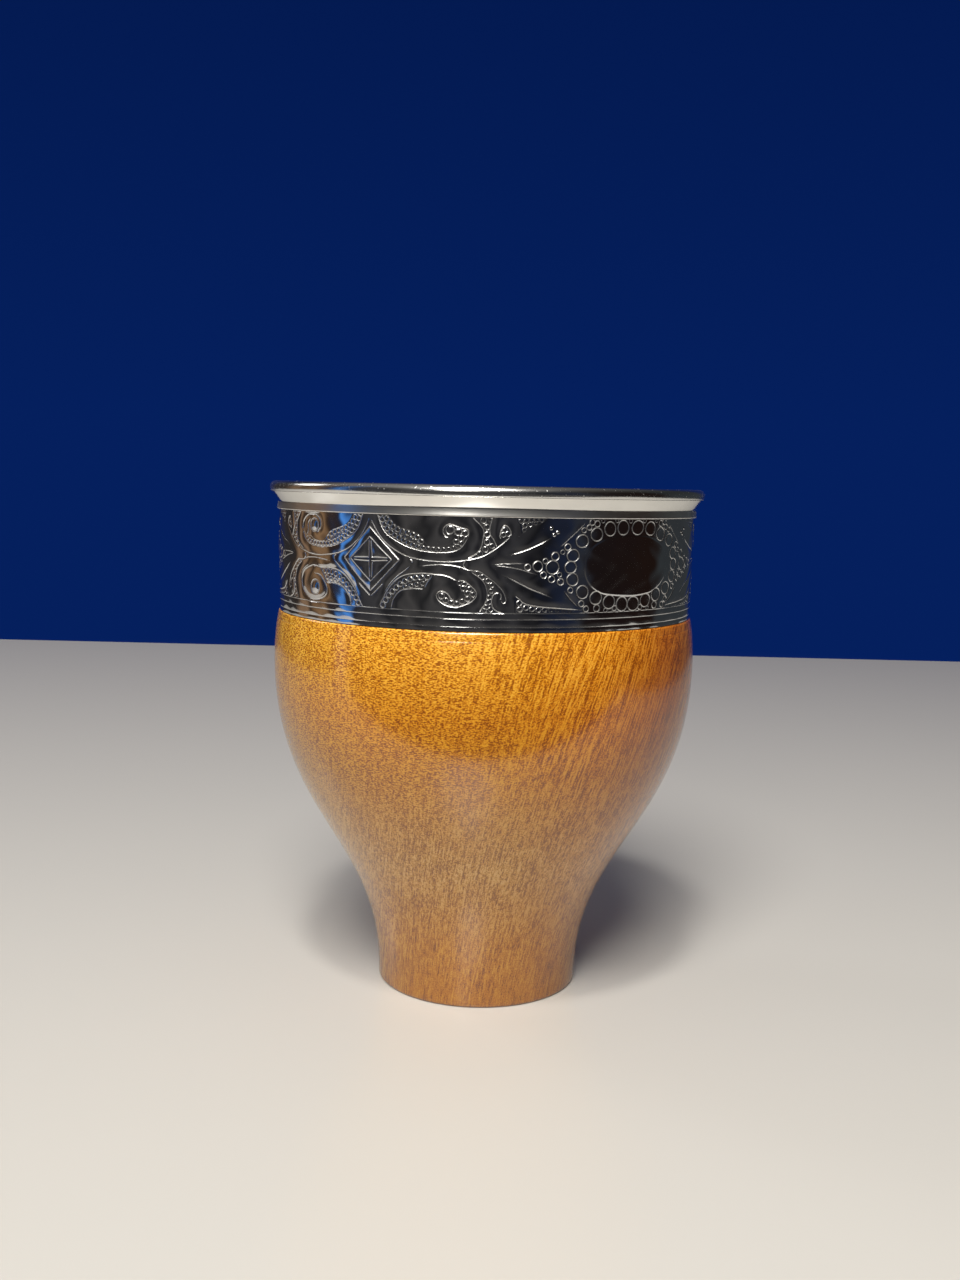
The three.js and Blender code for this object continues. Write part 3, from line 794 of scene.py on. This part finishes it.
def chased_metal():
    """Polished sheet with soft smears in its shine, duller and warmer where the tools have worked it."""
    n = Nodes.material("chased_metal")
    place = n.place()
    worked = n.add("ShaderNodeAttribute", attribute_name="worked").outputs["Fac"]
    haze = n.noise(place, (5.0, 5.0, 4.0), 3.0)
    shine = n.mix(n.span(haze, 0.35, 0.7), (0.72, 0.72, 0.73, 1.0), (0.62, 0.62, 0.64, 1.0))
    colour = n.mix(worked, shine, (0.70, 0.69, 0.67, 1.0))
    roughness = n.math("MULTIPLY_ADD", worked, 0.38, n.span(haze, 0.3, 0.75, 0.05, 0.13))
    n.set(n.surface, {"Base Color": colour, "Metallic": 1.0, "Roughness": roughness,
                      "Normal": scratched(n, place, 0.02)})
    return n.owner


def liner_steel():
    """Drawn steel: polished on the lip, satin inside with fine lines that run round the wall."""
    n = Nodes.material("liner_steel")
    place = n.place()
    z = n.add("ShaderNodeSeparateXYZ", {0: place}).outputs[2]
    inside = n.span(z, LIP_POLISH * MM, LINER_SATIN * MM)
    lines = n.noise(place, LINER_LINE_CELL, 3.0)
    specks = n.noise(place, (0.5, 0.5, 0.5), 1.0)
    shine = n.mix(n.span(lines, 0.3, 0.7), (0.76, 0.755, 0.74, 1.0), (0.66, 0.655, 0.645, 1.0))
    roughness = n.math("ADD", n.span(inside, 0.0, 1.0, 0.20, 0.26), n.span(specks, 0.68, 0.76, 0.0, 0.3))
    bump = n.add("ShaderNodeBump", {"Height": lines, "Strength": n.math("MULTIPLY", inside, 0.35),
                                    "Distance": 0.05 * MM}).outputs[0]
    n.set(n.surface, {"Base Color": shine, "Metallic": 1.0, "Roughness": roughness, "Normal": bump})
    return n.owner


def adhesive():
    """Cured amber adhesive with small bubbles."""
    n = Nodes.material("adhesive")
    cloud = n.noise(n.place(), (1.5, 1.5, 1.5), 3.0)
    n.set(n.surface, {"Base Color": n.ramp(cloud, (0.3, (0.62, 0.52, 0.30)), (0.7, (0.84, 0.78, 0.58))),
                      "Roughness": n.span(cloud, 0.3, 0.7, 0.4, 0.65)})
    return n.owner


shown(turned("wood_skin", wood_profile()), "wood_body", lacquered_wood())
shown(turned("liner_skin", liner_profile()), "steel_liner", liner_steel())
shown(turned("collar_skin", collar_profile()), "rim_collar", polished_metal())
band_panels(chased_metal())
glue = adhesive()
for name in ("band_bond", "liner_bond"):
    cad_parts[name].data.materials.clear()
    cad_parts[name].data.materials.append(glue)


def stage_floor():
    """A pale floor that ends a little in front of the cup and well behind it."""
    near, far, left, right = -0.105, 0.50, -0.45, 0.34
    mesh = bpy.data.meshes.new("pale_floor")
    corners = [(left, near, 0.0), (right, near, 0.0), (right, far, 0.0), (left, far, 0.0)]
    mesh.from_pydata(corners, [], [(0, 1, 2, 3)])
    floor = bpy.data.objects.new("pale_floor", mesh)
    bpy.context.scene.collection.objects.link(floor)
    n = Nodes.material("pale_floor")
    n.set(n.surface, {"Base Color": (0.625, 0.61, 0.58, 1.0), "Roughness": 0.25, "Specular IOR Level": 0.5})
    mesh.materials.append(n.owner)


def lamp(name, place, aim, size, power, colour=(1.0, 1.0, 1.0)):
    """A round soft lamp that faces a point."""
    data = bpy.data.lights.new(name, "AREA")
    data.shape, data.size, data.energy, data.color = "DISK", size, power, colour
    light = bpy.data.objects.new(name, data)
    light.location = place
    light.rotation_euler = (Vector(aim) - Vector(place)).to_track_quat("-Z", "Y").to_euler()
    bpy.context.scene.collection.objects.link(light)


# Studio surround: colours at angles in degrees round the cup, from the viewer's side towards the right.
BACKDROP = (0.0015, 0.0140, 0.110)
SURROUND = ((-180, BACKDROP), (-158, BACKDROP), (-146, (0.030, 0.029, 0.033)),
            (-125, (0.034, 0.027, 0.023)), (-116, (0.310, 0.190, 0.110)), (-108, (0.030, 0.020, 0.014)),
            (-100, (0.310, 0.180, 0.090)), (-92, (0.045, 0.028, 0.018)), (-85, (0.020, 0.020, 0.030)),
            (-82, (0.10, 0.340, 0.900)), (-79, (0.08, 0.270, 0.720)), (-75, (0.022, 0.022, 0.028)),
            (-60, (0.058, 0.056, 0.058)), (-50, (0.018, 0.018, 0.020)), (-41, (0.070, 0.066, 0.064)),
            (-33, (0.018, 0.018, 0.019)), (-24, (0.066, 0.063, 0.062)), (-15, (0.018, 0.018, 0.020)),
            (-5, (0.058, 0.056, 0.057)), (5, (0.016, 0.016, 0.019)), (14, (0.044, 0.043, 0.046)),
            (26, (0.010, 0.010, 0.012)), (44, (0.015, 0.021, 0.042)), (51, (0.030, 0.034, 0.044)),
            (58, (0.012, 0.008, 0.008)), (100, (0.015, 0.008, 0.006)), (109, (0.036, 0.041, 0.044)),
            (146, (0.036, 0.041, 0.046)), (158, BACKDROP), (180, BACKDROP))
UNDERFOOT = (0.085, 0.08, 0.075, 1.0)
EYE = (0.0, -0.24849, 0.096217)
PITCH, YAW, ROLL = -0.1197, -0.003, 0.023
SENSOR, LENS = 36.0, 36.32


def surroundings():
    """Plain cards of colour round the cup and a blue backdrop behind it, dimmer upward and paler overhead."""
    n = Nodes(bpy.data.worlds.new("surroundings"), "Background")
    way = n.add("ShaderNodeSeparateXYZ", {0: n.add("ShaderNodeTexCoord").outputs["Generated"]})
    x, y, z = way.outputs
    angle = n.math("ARCTAN2", x, n.math("MULTIPLY", y, -1.0))
    colour = n.ramp(n.span(angle, -math.pi, math.pi), *((a / 360 + 0.5, c) for a, c in SURROUND))
    colour = n.mix(n.span(z, 0.05, 0.45, 0.0, 0.35), colour, (0.0, 0.0, 0.0, 1.0))
    overhead = n.ramp(n.span(x, -0.1, 0.6), (0.0, (0.22, 0.21, 0.20)), (1.0, (0.05, 0.048, 0.046)))
    for low, high, tint in ((0.5, 0.9, overhead), (-0.12, -0.40, UNDERFOOT)):
        colour = n.mix(n.span(z, low, high), colour, tint)
    n.set(n.surface, {"Color": colour})
    bpy.context.scene.world = n.owner


def camera():
    """The viewpoint: a fitted pinhole camera, given by its place, its aim and its roll."""
    ahead = Vector((math.sin(YAW) * math.cos(PITCH), math.cos(YAW) * math.cos(PITCH), math.sin(PITCH)))
    right = Vector((math.cos(YAW), -math.sin(YAW), 0.0))
    up = right.cross(ahead)
    across = math.cos(ROLL) * right + math.sin(ROLL) * up
    above = -math.sin(ROLL) * right + math.cos(ROLL) * up
    data = bpy.data.cameras.new("camera")
    data.sensor_width, data.lens = SENSOR, LENS
    data.clip_start = 0.01
    eye = bpy.data.objects.new("camera", data)
    eye.matrix_world = Matrix.Translation(EYE) @ Matrix((across, above, -ahead)).transposed().to_4x4()
    bpy.context.scene.collection.objects.link(eye)
    bpy.context.scene.camera = eye


stage_floor()
WARM = (1.0, 0.965, 0.90)
lamp("main", (-0.14, -0.84, 1.03), (0.0, 0.0, 0.05), 0.62, 19.2, WARM)
lamp("high", (-0.065, -0.44, 0.94), (0.0, 0.0, 0.05), 0.10, 2.8, WARM)
lamp("low_front", (-0.24, -0.88, 0.46), (0.0, 0.0, 0.05), 0.25, 0.9, WARM)
lamp("left_back", (-0.75, 0.38, 0.57), (0.0, 0.0, 0.06), 0.25, 0.7)
surroundings()
camera()
bpy.context.scene.view_settings.view_transform = "Standard"
